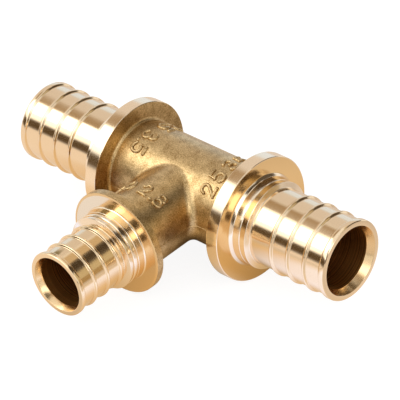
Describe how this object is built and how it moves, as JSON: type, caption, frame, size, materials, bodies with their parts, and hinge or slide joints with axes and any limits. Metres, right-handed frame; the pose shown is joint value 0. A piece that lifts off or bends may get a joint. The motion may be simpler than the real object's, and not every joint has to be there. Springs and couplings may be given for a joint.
{
  "type": "pex reducing tee",
  "caption": "Brass reducing tee for plastic pipe, with ribbed spigots behind round collars: equal run ends and a smaller branch.",
  "frame": {"origin": "where the axis of the run meets the axis of the branch", "axes": "+X along the run, -Y along the branch towards its open end, +Z square to both"},
  "size_m": [0.102, 0.0658, 0.0328],
  "materials": {
    "brass": "forged and blasted between the collars, turned bright on collars, hubs and spigots"
  },
  "bodies": {
    "root": {"tee_body": "brass"}
  },
  "joints": []
}
